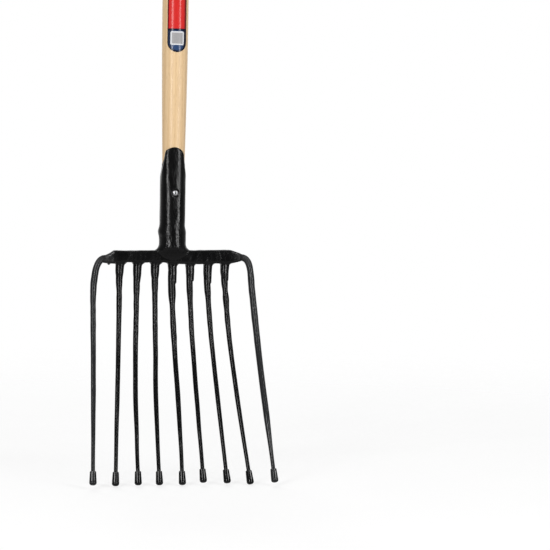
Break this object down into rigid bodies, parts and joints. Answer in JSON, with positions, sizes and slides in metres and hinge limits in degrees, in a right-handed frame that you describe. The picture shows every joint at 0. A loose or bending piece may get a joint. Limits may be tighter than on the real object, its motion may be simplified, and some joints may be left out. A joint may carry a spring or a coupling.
{
  "type": "potato fork",
  "caption": "Long handled potato fork: a dished row of slender round tines with blunt knob ends on a forged crossbar, socketed onto a straight wooden handle.",
  "frame": {"origin": "middle of the bounding box's base, under the tool as it stands on its tine tips with the handle upright", "axes": "+Z along the handle towards its butt; the hollow, loading side of the tines faces -Y; +X to the right seen from that side"},
  "size_m": [0.2768, 0.1576, 1.5696],
  "materials": {
    "black_paint": "semi-gloss black paint over rough forging",
    "varnished_ash": "clear varnish over straight grained ash",
    "bright_steel": "bright zinc plated",
    "label_film": "glossy red film with a dark blue lower end, bare of print",
    "sticker_film": "pale film, bare of print"
  },
  "bodies": {
    "root": {"crossbar": "black_paint", "socket": "black_paint", "tine_1": "black_paint", "tine_2": "black_paint", "tine_3": "black_paint", "tine_4": "black_paint", "tine_5": "black_paint", "tine_6": "black_paint", "tine_7": "black_paint", "tine_8": "black_paint", "tine_9": "black_paint", "handle": "varnished_ash", "socket_screw": "bright_steel", "handle_label": "label_film", "label_sticker": "sticker_film"}
  },
  "joints": []
}
